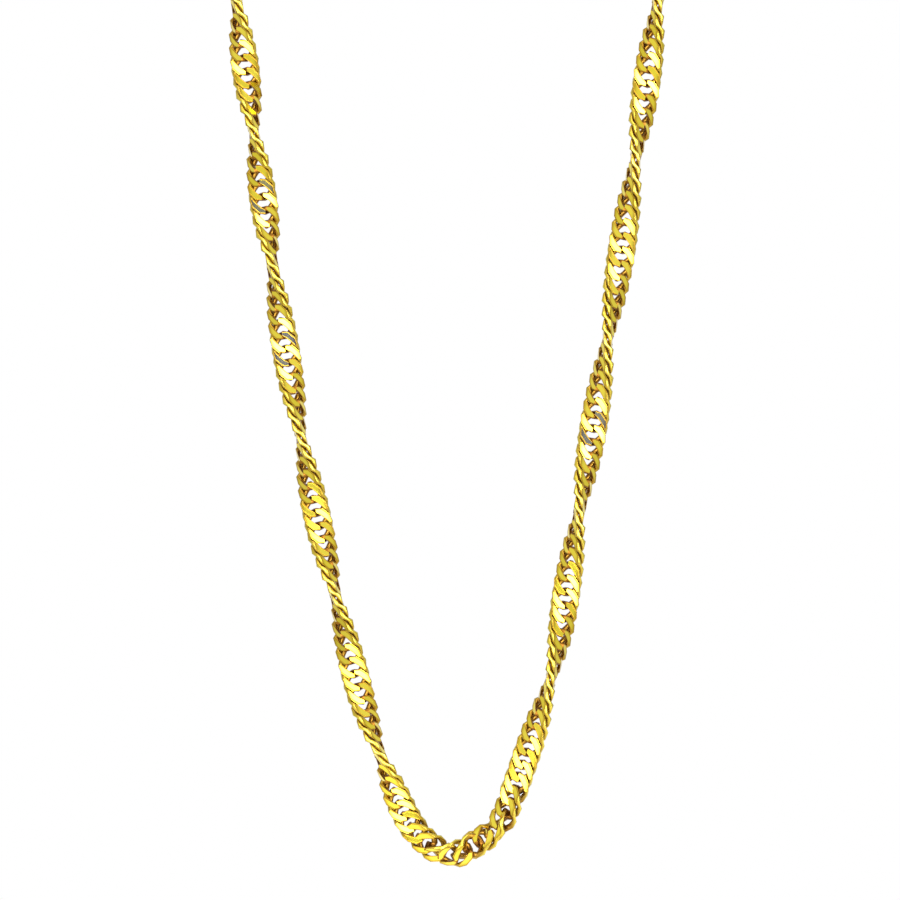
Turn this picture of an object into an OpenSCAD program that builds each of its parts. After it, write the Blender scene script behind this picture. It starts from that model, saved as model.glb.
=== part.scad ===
// Twisted curb chain necklace, hanging in a V from the back of the neck.
// Millimetres, +Z up, the front of the V towards -Y. The origin is the point at the nape
// where the neck bears on the inside of the necklace.

/* [Chain] */
// Diameter of the round envelope that the twisted chain fills
chain_w = 4; // [3:0.1:5]
// Gap between each end of the chain and the clasp
end_gap = 0.2; // [0.1:0.05:0.5]

/* [Clasp] */
// Outer diameter of the ring
ring_d = 6.6; // [5.6:0.1:9]
// Thickness of the ring's wire
ring_wire = 1.1; // [0.9:0.1:1.4]
// Thickness of the thinner tongue that closes the ring
tongue_wire = 0.8; // [0.6:0.05:0.85]
// Outer diameter of the eye soldered to the ring
eye_d = 3.4; // [2.8:0.1:4.5]
// Thickness of the eye's wire
eye_wire = 0.8; // [0.6:0.1:1]
// Diameter of the thumb lug
lug_d = 0.9; // [0.7:0.1:1]
// Height of the thumb lug above the ring
lug_h = 0.8; // [0.5:0.1:1.5]

/* [Hidden] */

// Sides of the tube that stands for the chain
tube_sides = 12;
// Rings of the tube between one route point and the next
rings_per_span = 2;
// Any point inside the loop and off the route, which the tube's sides are squared to
loop_middle = [0, -55, -70];

// Start and end of the ring's thinner tongue, in degrees from the end that the chain hooks on,
// and how far the tongue runs on inside the thicker wire at each end
tongue_from = 25;
tongue_to = 75;
tongue_sunk = 5;
// Place of the thumb lug on the ring, in degrees
lug_angle = 84;
// Share of the eye's wire that is sunk into the ring by the solder
solder_share = 0.55;
// Sides of a full turn of the clasp's ring and eye, and of its wires and lug
ring_sides = 64;
wire_sides = 24;

gold = "gold";
nape_y = chain_w / 2;
clasp_len = ring_d + eye_d - solder_share * eye_wire;
chain_end_x = clasp_len / 2 + end_gap;

// Route of the chain from the clasp's left end, down the left strand, through the lowest
// point of the V and back to the clasp's right end
ROUTE = [
    [-23, 1.2, -0.8],
    [-40.5, -9.5, -5.5],
    [-51.5, -28, -10.5],
    [-54.5, -52, -15.5],
    [-50.5, -73.5, -20.5],
    [-43, -92, -27],
    [-36, -105.5, -37],
    [-31.2, -111.5, -50],
    [-29.3, -112, -65],
    [-26.5, -112, -86],
    [-23.6, -112, -107],
    [-20, -112, -128],
    [-17.2, -112, -141],
    [-14.2, -112, -153],
    [-11.6, -112, -164],
    [-7.4, -112, -175],
    [-5.2, -112, -179.7],
    [-3.2, -112, -182],
    [-1.2, -112, -183.5],
    [0.8, -112, -184.1],
    [2.8, -112, -183.3],
    [4.8, -112, -181.8],
    [7.1, -112, -180.5],
    [8.7, -112, -177],
    [11.1, -112, -170],
    [13.8, -112, -162],
    [15.6, -112, -155],
    [16.4, -112, -148],
    [19.8, -112, -128],
    [23.2, -112, -107],
    [26.4, -112, -86],
    [29.4, -112, -65],
    [31.2, -111.5, -50],
    [36, -105.5, -37],
    [43, -92, -27],
    [50.5, -73.5, -20.5],
    [54.5, -52, -15.5],
    [51.5, -28, -10.5],
    [40.5, -9.5, -5.5],
    [23, 1.2, -0.8]
];

// The route with the two ends that the clasp's size sets, and one more point beyond each
first_end = [-chain_end_x, nape_y, 0];
last_end = [chain_end_x, nape_y, 0];
CONTROL = concat(
    [2 * first_end - ROUTE[0], first_end],
    ROUTE,
    [last_end, 2 * last_end - ROUTE[len(ROUTE) - 1]]
);
spans = len(CONTROL) - 3;

// The left strand ends and the right one starts where the route is lowest. Each span starts
// next to the second of its four control points.
heights = [for (point = CONTROL) point[2]];
lowest_span = search(min(heights), heights)[0] - 1;

// Uniform cubic B-spline: a point of span i at t from 0 to 1 is the weighted mean of four
// control points, and its direction is the same sum with the weights' slopes
function weights(t) = [
    pow(1 - t, 3) / 6,
    (3 * pow(t, 3) - 6 * pow(t, 2) + 4) / 6,
    (-3 * pow(t, 3) + 3 * pow(t, 2) + 3 * t + 1) / 6,
    pow(t, 3) / 6
];
function slopes(t) = [
    -pow(1 - t, 2) / 2,
    (3 * pow(t, 2) - 4 * t) / 2,
    (-3 * pow(t, 2) + 2 * t + 1) / 2,
    pow(t, 2) / 2
];
function four(i) = [for (k = [0:3]) CONTROL[i + k]];
function point_at(i, t) = weights(t) * four(i);
function direction_at(i, t) = unit(slopes(t) * four(i));
function unit(v) = v / norm(v);

// Corners of one ring of the tube, square to the route
function ring_corners(centre, along) =
    let (
        side = unit(cross(along, centre - loop_middle)),
        out = cross(side, along)
    )
    [
        for (k = [0:tube_sides - 1])
            let (a = 360 * k / tube_sides)
            centre + chain_w / 2 * (cos(a) * side + sin(a) * out)
    ];

// Triangles between two neighbouring rings, and the flat face of an end
function wall(ring) = [
    for (k = [0:tube_sides - 1])
        let (
            a = ring * tube_sides + k,
            b = ring * tube_sides + (k + 1) % tube_sides
        )
        each [[a, b, a + tube_sides], [b, b + tube_sides, a + tube_sides]]
];
function end_face(ring) = [for (k = [0:tube_sides - 1]) ring * tube_sides + k];
function turned(face) = [for (k = [1:len(face)]) face[len(face) - k]];

// Tube along the route from the start of one span to the start of another
module tube(from_span, to_span) {
    last = (to_span - from_span) * rings_per_span;
    corners = [
        for (n = [0:last])
            let (
                whole = min(floor(n / rings_per_span), to_span - from_span - 1),
                t = n / rings_per_span - whole,
                i = from_span + whole
            )
            each ring_corners(point_at(i, t), direction_at(i, t))
    ];
    walls = [for (n = [0:last - 1]) each wall(n)];
    polyhedron(corners, concat(walls, [turned(end_face(0)), end_face(last)]));
}

module chain_left() {
    color(gold)
    tube(0, lowest_span);
}

module chain_right() {
    color(gold)
    tube(lowest_span, spans);
}

// Round wire bent to an arc of a circle that stands square to Y
module wire_arc(outer_d, wire_d, from, to) {
    rotate([90, 0, 0])
    rotate([0, 0, from])
    rotate_extrude(angle = to - from, $fn = ring_sides)
    translate([(outer_d - wire_d) / 2, 0])
    circle(d = wire_d, $fn = wire_sides);
}

module clasp() {
    ring_x = clasp_len / 2 - ring_d / 2;
    eye_x = eye_d / 2 - clasp_len / 2;
    wire_r = (ring_d - ring_wire) / 2;
    color(gold)
    translate([0, nape_y, 0])
    union() {
        translate([ring_x, 0, 0])
        wire_arc(ring_d, ring_wire, tongue_to, 360 + tongue_from);
        translate([ring_x, 0, 0])
        wire_arc(
            ring_d - ring_wire + tongue_wire, tongue_wire,
            tongue_from - tongue_sunk, tongue_to + tongue_sunk
        );
        translate([eye_x, 0, 0])
        wire_arc(eye_d, eye_wire, 0, 360);
        translate([ring_x, 0, 0])
        rotate([0, -lug_angle, 0])
        translate([wire_r, 0, 0])
        rotate([0, 90, 0])
        union() {
            cylinder(d = lug_d, h = ring_wire / 2 + lug_h, $fn = wire_sides);
            translate([0, 0, ring_wire / 2 + lug_h])
            sphere(d = lug_d, $fn = wire_sides);
        }
    }
}

chain_left();
chain_right();
clasp();
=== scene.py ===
"""Gold necklace of twisted, flat-cut curb links, hanging in a V, with a plain ring clasp at the nape.

Metres, +Z up, the front of the V towards -Y. Both halves of the chain are made of one link, worked
out once as a grid of points and set along the chain's route.
"""

import math

import bpy
import numpy as np
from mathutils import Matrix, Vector


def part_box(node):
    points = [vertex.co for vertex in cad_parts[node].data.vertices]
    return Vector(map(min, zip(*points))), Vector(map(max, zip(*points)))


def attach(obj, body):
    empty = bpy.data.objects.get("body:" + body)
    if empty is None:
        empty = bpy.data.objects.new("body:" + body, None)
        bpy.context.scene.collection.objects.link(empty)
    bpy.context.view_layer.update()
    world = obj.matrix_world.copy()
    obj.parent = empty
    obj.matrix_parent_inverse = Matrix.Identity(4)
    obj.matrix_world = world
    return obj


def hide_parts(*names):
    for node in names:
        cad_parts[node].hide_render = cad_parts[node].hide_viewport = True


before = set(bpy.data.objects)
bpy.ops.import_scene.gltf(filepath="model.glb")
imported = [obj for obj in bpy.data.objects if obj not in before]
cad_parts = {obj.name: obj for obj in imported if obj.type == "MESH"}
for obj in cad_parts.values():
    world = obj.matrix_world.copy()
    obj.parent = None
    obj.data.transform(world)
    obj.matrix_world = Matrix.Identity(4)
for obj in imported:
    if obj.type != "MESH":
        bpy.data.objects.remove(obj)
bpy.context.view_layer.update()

MM = 0.001

# Route of the chain, as in the part's source, from the clasp's left end, down the left strand,
# through the lowest point of the V and back to the clasp's right end
ROUTE = [
    (-0.0230, 0.0012, -0.0008),
    (-0.0405, -0.0095, -0.0055),
    (-0.0515, -0.0280, -0.0105),
    (-0.0545, -0.0520, -0.0155),
    (-0.0505, -0.0735, -0.0205),
    (-0.0430, -0.0920, -0.0270),
    (-0.0360, -0.1055, -0.0370),
    (-0.0312, -0.1115, -0.0500),
    (-0.0293, -0.1120, -0.0650),
    (-0.0265, -0.1120, -0.0860),
    (-0.0236, -0.1120, -0.1070),
    (-0.0200, -0.1120, -0.1280),
    (-0.0172, -0.1120, -0.1410),
    (-0.0142, -0.1120, -0.1530),
    (-0.0116, -0.1120, -0.1640),
    (-0.0074, -0.1120, -0.1750),
    (-0.0052, -0.1120, -0.1797),
    (-0.0032, -0.1120, -0.1820),
    (-0.0012, -0.1120, -0.1835),
    (0.0008, -0.1120, -0.1841),
    (0.0028, -0.1120, -0.1833),
    (0.0048, -0.1120, -0.1818),
    (0.0071, -0.1120, -0.1805),
    (0.0087, -0.1120, -0.1770),
    (0.0111, -0.1120, -0.1700),
    (0.0138, -0.1120, -0.1620),
    (0.0156, -0.1120, -0.1550),
    (0.0164, -0.1120, -0.1480),
    (0.0198, -0.1120, -0.1280),
    (0.0232, -0.1120, -0.1070),
    (0.0264, -0.1120, -0.0860),
    (0.0294, -0.1120, -0.0650),
    (0.0312, -0.1115, -0.0500),
    (0.0360, -0.1055, -0.0370),
    (0.0430, -0.0920, -0.0270),
    (0.0505, -0.0735, -0.0205),
    (0.0545, -0.0520, -0.0155),
    (0.0515, -0.0280, -0.0105),
    (0.0405, -0.0095, -0.0055),
    (0.0230, 0.0012, -0.0008),
]
# Gap between each end of the route and the clasp
CLASP_GAP = 0.2 * MM
# A point inside the loop and off the route, which the chain's width starts square to
LOOP_MIDDLE = (0.0, -0.055, -0.070)
# Points worked out between one route point and the next
STEPS_PER_SPAN = 200

# How the twist runs along the V as the photo shows it. Each row is a place on the chain: its
# distance from the lowest point of the V in mm, how many links lie between it and a place near
# that point, the turn there from flat on in half turns, and how far neighbouring links turn to and
# fro about that where the chain is slack, in degrees. On the left strand some turns are up to four
# degrees off even half turns, so that the same faces flash as in the photo.
TURNS = [
    (-124.8, -59.7, -5.52, 0),
    (-105.9, -50.0, -4.48, 0),
    (-87.4, -40.5, -3.483, 0),
    (-63.3, -28.1, -2.494, 0),
    (-40.6, -16.2, -1.481, 0),
    (-17.9, -4.4, -0.5, 0),
    (-9.5, 0.0, 0.0, 0),
    (-5.8, 2.1, -0.05, 4),
    (0.3, 5.4, -0.31, 20),
    (4.0, 7.4, 0.02, 14),
    (7.2, 9.15, 0.48, 12),
    (10.5, 11.0, 0.18, 16),
    (13.5, 12.6, 0.02, 4),
    (17.7, 15.0, 0.0, 0),
    (29.1, 20.9, 0.5, 0),
    (52.8, 33.3, 1.5, 0),
    (77.0, 45.9, 2.5, 0),
    (102.3, 58.9, 3.5, 0),
    (124.1, 70.1, 4.5, 0),
]
# Behind the neck, the lengths of chain to a half turn and to a link
HIDDEN_HALF_TURN = 22.4 * MM
HIDDEN_PITCH = 1.94 * MM
# Length over which a change of the turning rate is spread, and how many places of it are averaged
TURN_SPREAD = 5.0 * MM
SPREAD_PLACES = 9
# Middles of the first and the last link, measured inwards from the route's ends
FIRST_LINK = 0.87 * MM
LAST_LINK = 0.57 * MM

# One link: half width and half length of the middle line of its wire, and the power of the
# oval's cosine and sine, which at 1 is an ellipse and below that a fuller oval
LINK_HALF_WIDTH = 1.62 * MM
LINK_HALF_LENGTH = 2.18 * MM
OVAL_POWER = 0.98
# Cross-sections of the wire from the link's side to its end: place in degrees, how far the wire
# stands before or behind the link's middle, its half width and half thickness, all in mm, the
# share of the width that is flat, and how much painted shade its outer side gets in the hollows
SECTIONS = [
    (7, 0.36, 0.38, 0.46, 0.36, 0.1),
    (31, 0.58, 0.45, 0.40, 0.82, 0.6),
    (62, 0.60, 0.47, 0.36, 0.86, 0.9),
    (84, 0.60, 0.38, 0.35, 0.46, 1.0),
]
# The wire's cross-section is a hexagon with two corners on its front flat, one on its outer side,
# two on its back flat and one on its inner side. For each corner in turn: whether it is on the front
# flat (1) or the back one (-1), and whether at the flat's outer rim (1) or its inner one (-1).
CORNER_FLATS = (1, 1, 0, -1, -1, 0)
CORNER_RIMS = (-1, 1, 0, 1, -1, 0)
FRONT_FLAT = slice(0, 2)
BACK_FLAT = slice(3, 5)
# How much painted shade the rims of the flats get: a share of the way from what the wire's outer
# side has to 1, the full painted shade, which its inner side has
RIM_SHADE_SHARE = 0.75
# Height over the link's middle at which its faces are cut flat
CUT_AT = 0.80 * MM
# Turn and distance from one link to the next, by which each link is twisted too
LINK_TURN = math.radians(15.5)
LINK_PITCH = 1.935 * MM
# How far a loose link may sit askew, and the seed of that, picked for which faces catch the light
ASKEW = math.radians(1.0)
ASKEW_SEED = 10111
# The seed of the links' slightly different tones
TONE_SEED = 9

# Middle and width of the photo's frame, in the plane of the V
PHOTO_MIDDLE = Vector((0.00042, -0.112, -0.12775))
PHOTO_WIDTH = 0.125


def linear(hex_value):
    """sRGB hex to a linear colour with alpha 1, by the sRGB curve."""
    channels = [int(hex_value[i:i + 2], 16) / 255 for i in (1, 3, 5)]
    return [c / 12.92 if c <= 0.04045 else ((c + 0.055) / 1.055) ** 2.4 for c in channels] + [1.0]


def unit(vectors):
    """Each vector divided by its length."""
    return vectors / np.linalg.norm(vectors, axis=-1, keepdims=True)


def turned(first, second, angle):
    """Two square directions turned towards each other by an angle: the first becomes first times
    cosine plus second times sine, and the second becomes second times cosine minus first times sine."""
    cosine = np.cos(angle)[..., None]
    sine = np.sin(angle)[..., None]
    return first * cosine + second * sine, second * cosine - first * sine


def chain_route():
    """Points, directions and distances from the lowest point along the chain's route.

    It is a uniform cubic B-spline: a point of a span, at t from 0 to 1, is the mean of four control
    points weighted by cubics of t, and its direction is the same sum with the cubics' slopes. One
    more control point beyond each end makes the curve start and end beside the clasp.
    """
    low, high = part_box("clasp")
    clasp_left = (low.x - CLASP_GAP, (low.y + high.y) / 2, 0.0)
    clasp_right = (high.x + CLASP_GAP, (low.y + high.y) / 2, 0.0)
    inner = np.array([clasp_left] + ROUTE + [clasp_right])
    control = np.vstack([2 * inner[0] - inner[1], inner, 2 * inner[-1] - inner[-2]])
    fours = np.stack([control[k:len(control) - 3 + k] for k in range(4)], 1)
    t = np.linspace(0, 1, STEPS_PER_SPAN, endpoint=False)
    weights = np.stack([
        (1 - t) ** 3,
        3 * t**3 - 6 * t**2 + 4,
        -3 * t**3 + 3 * t**2 + 3 * t + 1,
        t**3,
    ], 1) / 6
    slopes = np.stack([
        -(1 - t) ** 2,
        3 * t**2 - 4 * t,
        -3 * t**2 + 2 * t + 1,
        t**2,
    ], 1) / 2
    points = np.einsum("tk,skc->stc", weights, fours).reshape(-1, 3)
    along = unit(np.einsum("tk,skc->stc", slopes, fours).reshape(-1, 3))
    steps = np.linalg.norm(np.diff(points, axis=0), axis=1)
    distance = np.concatenate([[0.0], np.cumsum(steps)])
    return points, along, distance - distance[np.argmin(points[:, 2])]


def untwisted_frames(points, along):
    """Two directions square to the route that don't turn about it, the second of which faces the
    front at the lowest point of the V.

    They start square to the way to the loop's middle. From one point to the next, the smallest turn
    that takes the one direction of the route into the other carries the width v on to v plus b x v
    plus b x (b x v) / (1 + cosine), where b is the cross product of the two directions and the
    cosine is their dot product. The angle from the next point's own width to the carried one is
    summed along the route, and the frame at each point is turned by the sum so far.
    """
    wide = unit(np.cross(along, points - np.array(LOOP_MIDDLE)))
    face = np.cross(wide, along)
    bend = np.cross(along[:-1], along[1:])
    bend_twice = np.cross(bend, np.cross(bend, wide[:-1]))
    cosine = np.sum(along[:-1] * along[1:], 1)[:, None]
    carried = wide[:-1] + np.cross(bend, wide[:-1]) + bend_twice / (1 + cosine)
    step = np.arctan2(np.sum(carried * face[1:], 1), np.sum(carried * wide[1:], 1))
    wide, face = turned(wide, face, np.concatenate([[0.0], np.cumsum(step)]))
    lowest = np.argmin(points[:, 2])
    to_front = np.arctan2(wide[lowest, 1], -face[lowest, 1])
    return turned(wide, face, np.full(len(points), to_front))


def link_places(points, along, distance):
    """Distance, middle, width, direction and face of each link.

    A link sits at every whole number and a half of the table's count. Where that is and how far the
    chain has turned there are read between the table's rows. Both run on evenly behind the neck, to
    links that lie flat, so that they pass through the clasp's ring and eye.
    """
    wide, face = untwisted_frames(points, along)
    shown_places, shown_counts, half_turns, sways = np.array(TURNS).T
    shown_places = shown_places * MM
    shown_turns = half_turns * math.pi
    ends = [0, -1]
    end_places = np.array([distance[0] + FIRST_LINK, distance[-1] - LAST_LINK])
    hidden = end_places - shown_places[ends]
    end_counts = np.floor(shown_counts[ends] + hidden / HIDDEN_PITCH) + 0.5
    # The turn at which each end link's width is level, and the one that an even twist comes to
    level = np.arctan2(-wide[ends, 2], face[ends, 2])
    even = shown_turns[ends] + hidden / HIDDEN_HALF_TURN * math.pi
    end_turns = level + np.round((even - level) / math.pi) * math.pi

    def with_ends(two, shown):
        """The shown stretch's values between those of the two ends."""
        return np.concatenate([two[:1], shown, two[1:]])

    places = with_ends(end_places, shown_places)
    counts = with_ends(end_counts, shown_counts)
    turns = with_ends(end_turns, shown_turns)
    at = np.interp(np.arange(end_counts[0], end_counts[1] + 0.5), counts, places)
    spread = np.linspace(-TURN_SPREAD / 2, TURN_SPREAD / 2, SPREAD_PLACES)
    turn = np.interp(at[:, None] + spread, places, turns).mean(1)
    to_and_fro = np.where(np.arange(len(at)) % 2 == 0, -1, 1)
    turn += to_and_fro * np.radians(np.interp(at, shown_places, sways))

    def read(values):
        """Each column of these values at the links' distances."""
        return np.stack([np.interp(at, distance, column) for column in values.T], 1)

    middle = read(points)
    direction = unit(read(along))
    across = unit(np.cross(direction, np.cross(read(wide), direction)))
    across, facing = turned(across, np.cross(across, direction), turn)
    return at, middle, across, direction, facing


def askew(across, direction, facing):
    """The three directions of each link after two small turns, about the chain and about the link's
    width, because the links are loose."""
    random = np.random.default_rng(ASKEW_SEED)
    about_chain = random.uniform(-ASKEW, ASKEW, len(across))
    about_width = random.uniform(-ASKEW, ASKEW, len(across))
    across, facing = turned(across, facing, about_chain)
    direction, facing = turned(direction, facing, about_width)
    return across, direction, facing


def fuller(wave):
    """A cosine or sine raised to the oval's power, with its own sign."""
    return np.sign(wave) * np.abs(wave) ** OVAL_POWER


def one_link():
    """Points of one link, cross-section by cross-section, in its own width, length and face
    directions, with three values for each: whether it lies in a flat cut, how much painted shade it
    gets in the hollows between wires, and its place across the flats, 1 at the outer rim, -1 at the
    inner rim and 0 at the wire's sides.

    The middle line of the wire is an oval: half width times the cosine and half length times the
    sine, both raised to a power. It stands before the middle in two opposite quarters and behind it
    in the other two, and steps over between them. The cross-section is a hexagon with its flats
    before and behind. The whole is twisted about the length by the chain's own turn. What stands
    past the cut is laid into it, and the flat there is as wide as the hexagon is at that height.
    """
    rows = np.array(SECTIONS)
    quarter = np.radians(rows[:, 0])
    half = np.concatenate([quarter, math.pi - quarter[::-1]])
    round_link = np.concatenate([half, half + math.pi])
    columns = np.tile(np.vstack([rows, rows[::-1]]), (2, 1)).T
    stands, half_width, half_thickness, flat, outer_shade = columns[1:]
    x = LINK_HALF_WIDTH * fuller(np.cos(round_link))
    y = LINK_HALF_LENGTH * fuller(np.sin(round_link))
    middle = np.stack([x, y, stands * MM * np.sign(np.sin(2 * round_link))], 1)
    along_wire = (np.roll(middle, -1, 0) - np.roll(middle, 1, 0)) * (1, 1, 0)
    outward = unit(np.cross(along_wire, (0, 0, 1)))
    one = np.ones_like(round_link)

    def twisted(front, back):
        """The hexagon along the middle line, with these shares of its width flat before and behind,
        twisted about the length."""
        sideways = np.stack([-front, front, one, back, -back, -one], 1) * half_width[:, None] * MM
        upwards = np.outer(half_thickness, CORNER_FLATS) * MM
        straight = middle[:, None] + sideways[..., None] * outward[:, None]
        straight[..., 2] += upwards
        wide, long, high = np.moveaxis(straight, -1, 0)
        twist = long / LINK_PITCH * LINK_TURN
        cosine = np.cos(twist)
        sine = np.sin(twist)
        return np.stack([wide * cosine - high * sine, long, wide * sine + high * cosine], -1)

    def widened(heights):
        """The shares of flat, widened by how far the flat's corners stand past the cut."""
        past = np.clip((heights.mean(1) - CUT_AT) / (half_thickness * MM), 0, 1)
        return flat + (1 - flat) * past

    uncut = twisted(flat, flat)
    shape = twisted(widened(uncut[:, FRONT_FLAT, 2]), widened(-uncut[:, BACK_FLAT, 2]))
    in_cut = np.abs(shape[..., 2]) > CUT_AT
    shape[..., 2] = np.clip(shape[..., 2], -CUT_AT, CUT_AT)
    # How much painted shade each corner gets: the flats' rims a share towards full, the inner side full
    flat_rim_shade = outer_shade + (1 - outer_shade) * RIM_SHADE_SHARE
    hollow_shade = np.stack([flat_rim_shade, flat_rim_shade, outer_shade, flat_rim_shade, flat_rim_shade, one], 1)
    to_rim = np.outer(one, CORNER_RIMS)
    return shape, in_cut, hollow_shade, to_rim


def link_faces(sections, corners):
    """Four corners of each face of a closed link: a point, the one beside it round the wire, and the
    same two on the next cross-section."""
    grid = np.arange(sections * corners).reshape(sections, corners)
    ahead = np.roll(grid, -1, 0)
    beside = np.roll(grid, -1, 1)
    ahead_beside = np.roll(ahead, -1, 1)
    return np.stack([grid, beside, ahead_beside, ahead], -1).reshape(-1, 4)


def chain_piece(name, middles, axes, tones):
    """Links joined into one mesh: every point of the one link is its link's middle plus its width,
    length and face coordinates times that link's three directions. The cut faces are shaded flat
    and the rest smooth. The attributes hold whether a face is cut, its link's tone, how much painted
    shade a point gets in the hollows between wires and its place across the flats. The UV map holds
    a point's width and length on its link in millimetres."""
    shape, in_cut, hollow_shade, to_rim = one_link()
    links = len(middles)
    link_points = shape.reshape(-1, 3)
    points = middles[:, None] + np.einsum("pc,lcd->lpd", link_points, axes)
    faces = link_faces(*in_cut.shape)
    first_points = np.arange(links) * len(link_points)
    every_face = faces[None] + first_points[:, None, None]
    mesh = bpy.data.meshes.new(name)
    mesh.from_pydata(points.reshape(-1, 3), [], every_face.reshape(-1, 4).tolist())
    cut = in_cut.reshape(-1)[faces].all(1)
    mesh.polygons.foreach_set("use_smooth", np.tile(~cut, links))
    for attribute, domain, values in (
        ("cut", "FACE", np.tile(cut, links).astype(float)),
        ("tone", "FACE", np.repeat(tones, len(faces))),
        ("hollow_shade", "POINT", np.tile(hollow_shade.ravel(), links)),
        ("to_rim", "POINT", np.tile(to_rim.ravel(), links)),
    ):
        mesh.attributes.new(attribute, "FLOAT", domain).data.foreach_set("value", values)
    link_map = np.tile(link_points[faces.ravel(), :2] / MM, (links, 1))
    mesh.uv_layers.new(name="link_mm").data.foreach_set("uv", link_map.ravel())
    mesh.update()
    piece = bpy.data.objects.new(name, mesh)
    bpy.context.scene.collection.objects.link(piece)
    return piece


def add(tree, kind, values=None, links=None, stops=(), **settings):
    """Adds a node: settings are the node's own properties, values go to its sockets by name or
    number, links come from other nodes' sockets, and stops are a ramp's rising positions with
    their colours."""
    node = tree.nodes.new(kind)
    for number, (position, colour) in enumerate(stops):
        elements = node.color_ramp.elements
        element = elements[number] if number < 2 else elements.new(position)
        element.position = position
        element.color = (*colour, 1.0)
    for key, value in settings.items():
        setattr(node, key, value)
    for key, value in (values or {}).items():
        node.inputs[key].default_value = value
    for key, source in (links or {}).items():
        tree.links.new(source, node.inputs[key])
    return node


def new_material(name):
    """A new material whose node tree is empty, and that tree."""
    material = bpy.data.materials.new(name)
    material.use_nodes = True
    material.node_tree.nodes.clear()
    return material, material.node_tree


# Painted shade on the cut faces towards the link's sides, where they pass under the next links:
# how far sideways from a link's middle, in mm, it starts to turn them brown and stops, and the
# share of brown at which it stops
SIDE_SHADE_FROM = 1.0
SIDE_SHADE_TO = 1.9
SIDE_SHADE_MOST = 0.9
# Where the painted shade on a cut face's rim starts and is full, from 0 at its middle to 1 at its rim
RIM_SHADE_FROM = 0.58
RIM_SHADE_TO = 0.92
# Roughness of a cut face and of its shaded rim, of the round wire, between two values, and of the
# hollows that the polish doesn't reach
CUT_ROUGHNESS = 0.06
RIM_ROUGHNESS = 0.5
WIRE_ROUGHNESS = (0.04, 0.14)
HOLLOW_ROUGHNESS = 0.4
# Width of the softer patches that tumbling leaves, and width, depth and strength of the fine marks
# all over. Real ones are hundredths of a millimetre wide, too fine to show in the render, so both
# are drawn as coarse as they need to show.
TUMBLED_PATCH = 1.11 * MM
MARK_WIDTH_MM = 0.2
MARK_DEPTH = 0.01 * MM
MARK_STRENGTH = 0.02
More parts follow.
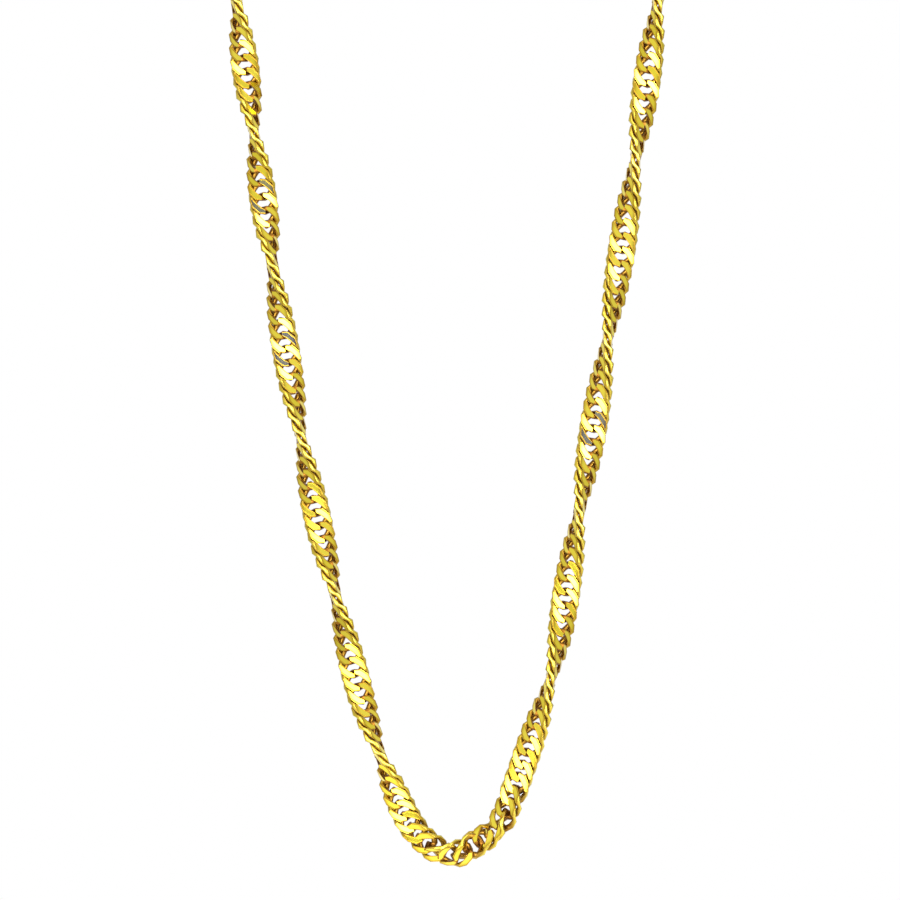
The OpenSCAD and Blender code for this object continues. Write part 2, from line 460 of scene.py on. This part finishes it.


# Tumble-polished gold plate on brass wire, whose faces are cut flat by a diamond tool. The eye gets
# mirror-bright flats with rims and sides browned by painted shade, next to softer yellow round wire,
# rougher hollows darkened brown by painted shade, and a slightly different tone from link to link.
def cut_gold_plate():
    material, tree = new_material("diamond_cut_gold_plate")
    cut = add(tree, "ShaderNodeAttribute", attribute_name="cut").outputs["Fac"]
    hollow_shade = add(tree, "ShaderNodeAttribute", attribute_name="hollow_shade").outputs["Fac"]
    tone = add(tree, "ShaderNodeAttribute", attribute_name="tone").outputs["Fac"]
    to_rim = add(tree, "ShaderNodeAttribute", attribute_name="to_rim").outputs["Fac"]
    place = add(tree, "ShaderNodeTexCoord").outputs["Object"]
    link_map = add(tree, "ShaderNodeUVMap", uv_map="link_mm").outputs["UV"]

    # Painted shade browns the cut faces at the link's sides and on their rims, and only what isn't
    # cut gets the painted shade of the hollows
    across = add(tree, "ShaderNodeSeparateXYZ", links={"Vector": link_map}).outputs["X"]
    out = add(tree, "ShaderNodeMath", operation="ABSOLUTE", links={0: across}).outputs["Value"]
    outer = add(
        tree, "ShaderNodeMapRange", interpolation_type="SMOOTHSTEP", links={"Value": out},
        values={"From Min": SIDE_SHADE_FROM, "From Max": SIDE_SHADE_TO, "To Min": 0.0, "To Max": SIDE_SHADE_MOST},
    ).outputs["Result"]
    from_middle = add(tree, "ShaderNodeMath", operation="ABSOLUTE", links={0: to_rim}).outputs["Value"]
    shaded_rim = add(
        tree, "ShaderNodeMapRange", interpolation_type="SMOOTHSTEP", links={"Value": from_middle},
        values={"From Min": RIM_SHADE_FROM, "From Max": RIM_SHADE_TO, "To Min": 0.0, "To Max": 1.0},
    ).outputs["Result"]
    cut_shade = add(tree, "ShaderNodeMath", operation="MAXIMUM", links={0: outer, 1: shaded_rim}).outputs["Value"]
    not_cut = add(
        tree, "ShaderNodeMath", operation="SUBTRACT", values={0: 1.0}, links={1: cut},
    ).outputs["Value"]
    shaded_hollows = add(
        tree, "ShaderNodeMath", operation="MULTIPLY", links={0: hollow_shade, 1: not_cut},
    ).outputs["Value"]

    # Colour of the cut faces with their painted shade, then of the round wire, then both with the
    # painted shade of the hollows
    bright_cut = add(
        tree, "ShaderNodeMix", data_type="RGBA", links={"Factor": tone},
        values={"A": linear("#E8D43E"), "B": linear("#F4E150")},
    ).outputs["Result"]
    # The brown of the painted shade on the cut faces' sides and rims
    cut_gold = add(
        tree, "ShaderNodeMix", data_type="RGBA", links={"Factor": cut_shade, "A": bright_cut},
        values={"B": linear("#94681C")},
    ).outputs["Result"]
    wire_gold = add(
        tree, "ShaderNodeMix", data_type="RGBA", links={"Factor": tone},
        values={"A": linear("#E9D74A"), "B": linear("#F4E45E")},
    ).outputs["Result"]
    polished = add(
        tree, "ShaderNodeMix", data_type="RGBA", links={"Factor": cut, "A": wire_gold, "B": cut_gold},
    ).outputs["Result"]
    # Dark brown painted shade in the hollows between the wires and between the links
    gold = add(
        tree, "ShaderNodeMix", data_type="RGBA", links={"Factor": shaded_hollows, "A": polished},
        values={"B": linear("#855A20")},
    ).outputs["Result"]

    # Roughness of the round wire with its hollows, then of the cut faces with their rims
    patches = add(
        tree, "ShaderNodeTexNoise", links={"Vector": place},
        values={"Scale": 1 / TUMBLED_PATCH, "Detail": 3},
    ).outputs["Fac"]
    tumbled = add(
        tree, "ShaderNodeMapRange", links={"Value": patches},
        values={"To Min": WIRE_ROUGHNESS[0], "To Max": WIRE_ROUGHNESS[1]},
    ).outputs["Result"]
    rough_wire = add(
        tree, "ShaderNodeMix", links={"Factor": shaded_hollows, "A": tumbled},
        values={"B": HOLLOW_ROUGHNESS},
    ).outputs["Result"]
    rough_cut = add(
        tree, "ShaderNodeMix", links={"Factor": shaded_rim},
        values={"A": CUT_ROUGHNESS, "B": RIM_ROUGHNESS},
    ).outputs["Result"]
    roughness = add(
        tree, "ShaderNodeMix", links={"Factor": cut, "A": rough_wire, "B": rough_cut},
    ).outputs["Result"]

    marks = add(
        tree, "ShaderNodeTexNoise", links={"Vector": link_map},
        values={"Scale": 1 / MARK_WIDTH_MM, "Detail": 2},
    ).outputs["Fac"]
    bump = add(
        tree, "ShaderNodeBump", links={"Height": marks},
        values={"Strength": MARK_STRENGTH, "Distance": MARK_DEPTH},
    ).outputs["Normal"]
    shader = add(
        tree, "ShaderNodeBsdfPrincipled", values={"Metallic": 1.0},
        links={"Base Color": gold, "Roughness": roughness, "Normal": bump},
    ).outputs["BSDF"]
    add(tree, "ShaderNodeOutputMaterial", links={"Surface": shader})
    return material


# Width of the softer patches in the clasp's hand polish, which are finer on a real one and are drawn
# as coarse as they need to show, and its roughness, between two values
HAND_PATCH = 1.43 * MM
CLASP_ROUGHNESS = (0.10, 0.20)


# Cast clasp, polished by hand and gold plated. The eye gets an even, soft mirror.
def clasp_gold_plate():
    material, tree = new_material("hand_polished_gold_plate")
    place = add(tree, "ShaderNodeTexCoord").outputs["Object"]
    patches = add(
        tree, "ShaderNodeTexNoise", links={"Vector": place},
        values={"Scale": 1 / HAND_PATCH, "Detail": 4},
    ).outputs["Fac"]
    gold = add(
        tree, "ShaderNodeMix", data_type="RGBA", links={"Factor": patches},
        values={"A": linear("#EFD244"), "B": linear("#F8E05C")},
    ).outputs["Result"]
    roughness = add(
        tree, "ShaderNodeMapRange", links={"Value": patches},
        values={"To Min": CLASP_ROUGHNESS[0], "To Max": CLASP_ROUGHNESS[1]},
    ).outputs["Result"]
    shader = add(
        tree, "ShaderNodeBsdfPrincipled", values={"Metallic": 1.0},
        links={"Base Color": gold, "Roughness": roughness},
    ).outputs["BSDF"]
    add(tree, "ShaderNodeOutputMaterial", links={"Surface": shader})
    return material


# Width of the clouds that the fibres make in the paper, and its roughness
PAPER_CLOUD = 16.7 * MM
PAPER_ROUGHNESS = 0.9


# Uncoated pale paper under the necklace. The eye gets a matt, nearly even white.
def floor_paper():
    material, tree = new_material("pale_paper")
    place = add(tree, "ShaderNodeTexCoord").outputs["Object"]
    clouds = add(
        tree, "ShaderNodeTexNoise", links={"Vector": place}, values={"Scale": 1 / PAPER_CLOUD},
    ).outputs["Fac"]
    colour = add(
        tree, "ShaderNodeMix", data_type="RGBA", links={"Factor": clouds},
        values={"A": linear("#F4F3F0"), "B": linear("#F8F7F5")},
    ).outputs["Result"]
    shader = add(
        tree, "ShaderNodeBsdfPrincipled", values={"Roughness": PAPER_ROUGHNESS},
        links={"Base Color": colour},
    ).outputs["BSDF"]
    add(tree, "ShaderNodeOutputMaterial", links={"Surface": shader})
    return material


def make_chain():
    """The two halves of the chain, which part at the lowest point of the V."""
    at, middles, across, direction, facing = link_places(*chain_route())
    axes = np.stack(askew(across, direction, facing), 1)
    tones = np.random.default_rng(TONE_SEED).uniform(0, 1, len(at))
    gold = cut_gold_plate()
    for name, node, chosen in (
        ("left_chain_links", "chain_left", at < 0),
        ("right_chain_links", "chain_right", at >= 0),
    ):
        piece = chain_piece(name, middles[chosen], axes[chosen], tones[chosen])
        piece.data.materials.append(gold)
        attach(piece, "root")
        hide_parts(node)


def dress_clasp():
    """The clasp keeps its solid and gets its finish."""
    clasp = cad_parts["clasp"]
    clasp.data.materials.clear()
    clasp.data.materials.append(clasp_gold_plate())


# The floor is a round sheet well below the necklace
FLOOR_MIDDLE = (0.0, -0.056, -0.26)
FLOOR_RADIUS = 0.30
FLOOR_SIDES = 96


def make_floor():
    """A pale round sheet of one face, whose corners are the middle plus the radius times the cosine
    and the sine."""
    angle = np.linspace(0, 2 * math.pi, FLOOR_SIDES, endpoint=False)
    circle = np.stack([np.cos(angle), np.sin(angle), np.zeros(FLOOR_SIDES)], 1)
    edge = circle * FLOOR_RADIUS + FLOOR_MIDDLE
    mesh = bpy.data.meshes.new("floor")
    mesh.from_pydata(edge, [], [list(range(FLOOR_SIDES))])
    floor = bpy.data.objects.new("floor", mesh)
    bpy.context.scene.collection.objects.link(floor)
    floor.data.materials.append(floor_paper())


# How bright the pale walls are that the metal sees all round, by degrees from the camera's side
# towards the right
WALLS_ROUND = [
    (-180, 1.0),
    (-130, 0.9),
    (-95, 0.8),
    (-60, 0.95),
    (60, 0.95),
    (95, 0.8),
    (130, 0.9),
    (180, 1.0),
]
# By what that is multiplied at each height, told by the sine of the elevation: little at the table,
# and more at the ceiling than at the walls
TABLE_TO_CEILING = [(-1.0, 0.4), (-0.6, 0.5), (-0.2, 0.9), (0.3, 1.0), (1.0, 1.2)]
# What the metal sees in front of the V instead, by the sine of the elevation: a bright reflector low
# down, and over it the dark camera, so blue that gold mirrors it as grey
PALE_WALL = (1.0, 1.0, 1.0)
REFLECTOR = (8.0, 8.0, 8.0)
DARK_CAMERA = (0.19, 0.24, 3.0)
IN_FRONT_UP = [
    (-0.14, PALE_WALL),
    (-0.12, REFLECTOR),
    (-0.062, REFLECTOR),
    (-0.050, PALE_WALL),
    (-0.022, PALE_WALL),
    (-0.014, DARK_CAMERA),
    (0.034, DARK_CAMERA),
    (0.042, PALE_WALL),
]
# Degrees either side within which all of that is seen, and beyond which none of it is
IN_FRONT_REACH = (7, 9)
WHITE = (1.0, 1.0, 1.0, 1.0)
# Each softbox: its azimuth from the camera's side towards the right and its elevation in degrees,
# its width, height and distance in metres, and its radiance
SOFTBOXES = [
    ("right_softbox", 31, 4, 0.40, 1.0, 1.1, 10),
    ("left_softbox", -23, 4, 0.53, 1.0, 1.1, 8),
    ("top_softbox", 10, 62, 0.70, 0.5, 1.0, 3),
]


def softbox(name, azimuth, elevation, wide, high, away, radiance):
    """An area light that faces the middle of the photo's frame, at this azimuth and elevation from
    there. Its power is pi times its area times its radiance."""
    a = math.radians(azimuth)
    e = math.radians(elevation)
    back = Vector((math.sin(a) * math.cos(e), -math.cos(a) * math.cos(e), math.sin(e)))
    light = bpy.data.lights.new(name, "AREA")
    light.shape = "RECTANGLE"
    light.size = wide
    light.size_y = high
    light.energy = math.pi * wide * high * radiance
    lamp = bpy.data.objects.new(name, light)
    lamp.location = PHOTO_MIDDLE + back * away
    lamp.rotation_euler = (-back).to_track_quat("-Z", "Y").to_euler()
    lamp.visible_camera = False
    bpy.context.scene.collection.objects.link(lamp)


def make_light():
    """White light from all round and the softboxes. The metal mirrors a studio instead of plain
    white: pale walls and ceiling, a darker table, and in front the reflector and the camera."""
    world = bpy.data.worlds.new("studio")
    bpy.context.scene.world = world
    world.use_nodes = True
    tree = world.node_tree
    tree.nodes.clear()
    way = add(tree, "ShaderNodeTexCoord").outputs["Generated"]
    axes = add(tree, "ShaderNodeSeparateXYZ", links={"Vector": way}).outputs
    to_camera = add(
        tree, "ShaderNodeMath", operation="MULTIPLY", values={1: -1.0}, links={0: axes["Y"]},
    ).outputs["Value"]
    azimuth = add(
        tree, "ShaderNodeMath", operation="ARCTAN2", links={0: axes["X"], 1: to_camera},
    ).outputs["Value"]
    round_share = add(
        tree, "ShaderNodeMapRange", links={"Value": azimuth},
        values={"From Min": -math.pi, "From Max": math.pi},
    ).outputs["Result"]
    walls = add(
        tree, "ShaderNodeValToRGB", links={"Fac": round_share},
        stops=[((degrees + 180) / 360, (value, value, value)) for degrees, value in WALLS_ROUND],
    ).outputs["Color"]
    up_share = add(
        tree, "ShaderNodeMapRange", links={"Value": axes["Z"]},
        values={"From Min": -1.0, "From Max": 1.0},
    ).outputs["Result"]
    levels = add(
        tree, "ShaderNodeValToRGB", links={"Fac": up_share},
        stops=[((sine + 1) / 2, (value, value, value)) for sine, value in TABLE_TO_CEILING],
    ).outputs["Color"]
    room = add(
        tree, "ShaderNodeMix", data_type="RGBA", blend_type="MULTIPLY", values={"Factor": 1.0},
        links={"A": walls, "B": levels},
    ).outputs["Result"]
    front = add(
        tree, "ShaderNodeValToRGB", links={"Fac": up_share},
        stops=[((sine + 1) / 2, colour) for sine, colour in IN_FRONT_UP],
    ).outputs["Color"]
    aside = add(tree, "ShaderNodeMath", operation="ABSOLUTE", links={0: azimuth}).outputs["Value"]
    near, far = IN_FRONT_REACH
    in_front = add(
        tree, "ShaderNodeMapRange", links={"Value": aside},
        values={
            "From Min": math.radians(near), "From Max": math.radians(far),
            "To Min": 1.0, "To Max": 0.0,
        },
    ).outputs["Result"]
    studio = add(
        tree, "ShaderNodeMix", data_type="RGBA", links={"Factor": in_front, "A": room, "B": front},
    ).outputs["Result"]
    mirrored = add(tree, "ShaderNodeLightPath").outputs["Is Glossy Ray"]
    colour = add(
        tree, "ShaderNodeMix", data_type="RGBA", values={"A": WHITE},
        links={"Factor": mirrored, "B": studio},
    ).outputs["Result"]
    shader = add(tree, "ShaderNodeBackground", links={"Color": colour}).outputs["Background"]
    add(tree, "ShaderNodeOutputWorld", links={"Surface": shader})
    for row in SOFTBOXES:
        softbox(*row)


# The camera's lens and sensor in mm, and how near it sees, in metres
LENS_MM = 200
SENSOR_MM = 36
NEAREST_SEEN = 0.01


def make_camera():
    """A long lens level with the middle of the photo's frame, at the distance that fills it."""
    data = bpy.data.cameras.new("camera")
    data.lens = LENS_MM
    data.sensor_width = SENSOR_MM
    data.clip_start = NEAREST_SEEN
    camera = bpy.data.objects.new("camera", data)
    camera.location = PHOTO_MIDDLE - Vector((0, PHOTO_WIDTH * LENS_MM / SENSOR_MM, 0))
    camera.rotation_euler = (math.pi / 2, 0, 0)
    bpy.context.scene.collection.objects.link(camera)
    bpy.context.scene.camera = camera
    bpy.context.scene.view_settings.view_transform = "Standard"


make_camera()
make_chain()
dress_clasp()
make_floor()
make_light()
